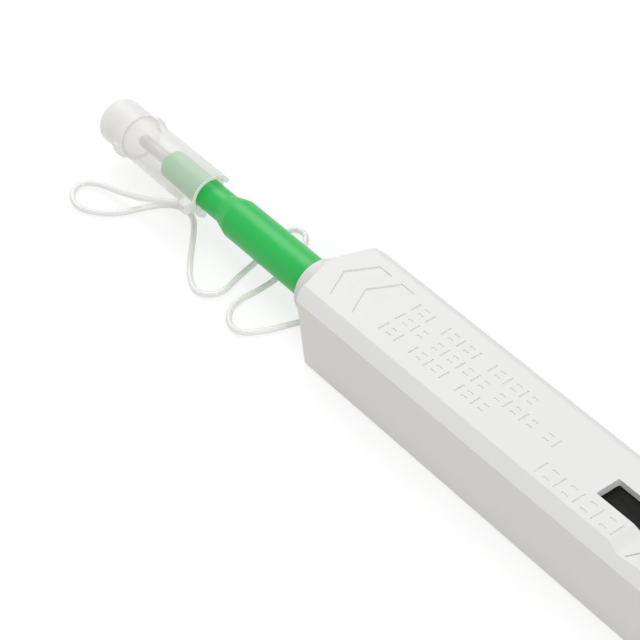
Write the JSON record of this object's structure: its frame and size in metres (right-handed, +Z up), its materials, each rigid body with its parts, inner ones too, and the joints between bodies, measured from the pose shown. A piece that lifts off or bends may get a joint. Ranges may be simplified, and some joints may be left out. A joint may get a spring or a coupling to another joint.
{
  "type": "fibre connector cleaning pen",
  "caption": "Click pen that wipes fibre connector ends with a thread at the tip of a sliding nozzle, with a tethered clear guide cap.",
  "frame": {"origin": "on the table, below the middle of the pen without its tether", "axes": "+X along the pen away from the nozzle, +Y across it, +Z up out of the face with the button's slot"},
  "size_m": [0.2252, 0.0344, 0.0198],
  "materials": {
    "shell_white": "fine satin",
    "mechanism_black": "satin",
    "nozzle_green": "gloss",
    "cap_clear": "milky clear",
    "cord_clear": "clear, glossy",
    "tip_grey": "satin",
    "gear_natural": "satin",
    "spring_steel": "bright",
    "thread_white": "fine thread"
  },
  "bodies": {
    "housing": {"lower_shell": "shell_white", "upper_shell": "shell_white", "tether": "cord_clear"},
    "carriage": {"carriage_frame": "mechanism_black", "carriage_cover": "mechanism_black", "button_spring": "spring_steel", "return_spring": "spring_steel", "cleaning_thread": "thread_white"},
    "button": {"release_button": "mechanism_black"},
    "nozzle": {"nozzle_tube": "nozzle_green", "rack_slider": "mechanism_black"},
    "tip": {"tip_sleeve": "tip_grey", "tip_shaft": "tip_grey", "tip_wrap": "thread_white"},
    "cap": {"guide_cap": "cap_clear"},
    "lid": {"cap_lid": "cap_clear"},
    "pinion": {"drive_pinion": "gear_natural"},
    "takeup": {"takeup_reel": "gear_natural", "takeup_thread": "thread_white"},
    "supply": {"supply_reel": "gear_natural", "supply_thread": "thread_white"}
  },
  "joints": [
    {"name": "nozzle_extend", "type": "slide", "parent": "housing", "child": "carriage", "axis": [-1, 0, 0], "range_m": [0, 0.032], "deforming": ["tether"]},
    {"name": "button_press", "type": "slide", "parent": "carriage", "child": "button", "axis": [0, 0, -1], "range_m": [0, 0.0015], "stiffness_N_per_m": 600, "springref_m": -0.0005, "deforming": ["button_spring"]},
    {"name": "nozzle_push", "type": "slide", "parent": "carriage", "child": "nozzle", "axis": [1, 0, 0], "range_m": [0, 0.0085], "stiffness_N_per_m": 300, "springref_m": -0.004, "deforming": ["return_spring", "tether"]},
    {"name": "pinion_spin", "type": "hinge", "parent": "carriage", "child": "pinion", "pos_m": [0.04765, 0, 0.0038], "axis": [0, 0, 1], "range_deg": [0, 122]},
    {"name": "takeup_spin", "type": "hinge", "parent": "carriage", "child": "takeup", "pos_m": [0.04765, 0, 0.00725], "axis": [0, 0, 1], "range_deg": [0, 122]},
    {"name": "supply_spin", "type": "hinge", "parent": "carriage", "child": "supply", "pos_m": [0.06315, 0, 0.00725], "axis": [0, 0, 1], "range_deg": [0, 84.5]},
    {"name": "tip_twist", "type": "hinge", "parent": "carriage", "child": "tip", "pos_m": [-0.02735, 0, 0.00936], "axis": [1, 0, 0], "range_deg": [0, 180.5]},
    {"name": "cap_pull", "type": "slide", "parent": "nozzle", "child": "cap", "axis": [-1, 0, 0], "range_m": [0, 0.036], "deforming": ["tether"]},
    {"name": "lid_hinge", "type": "hinge", "parent": "cap", "child": "lid", "pos_m": [-0.103, 0.0054, 0.01133], "axis": [0, 0.342, -0.9397], "range_deg": [0, 110]}
  ],
  "couplings": [
    {"joint": "pinion_spin", "follows": "nozzle_push", "rad_per_m": 250},
    {"joint": "takeup_spin", "follows": "nozzle_push", "rad_per_m": 250},
    {"joint": "supply_spin", "follows": "nozzle_push", "rad_per_m": 172.41},
    {"joint": "tip_twist", "follows": "nozzle_push", "rad_per_m": 369.6}
  ]
}
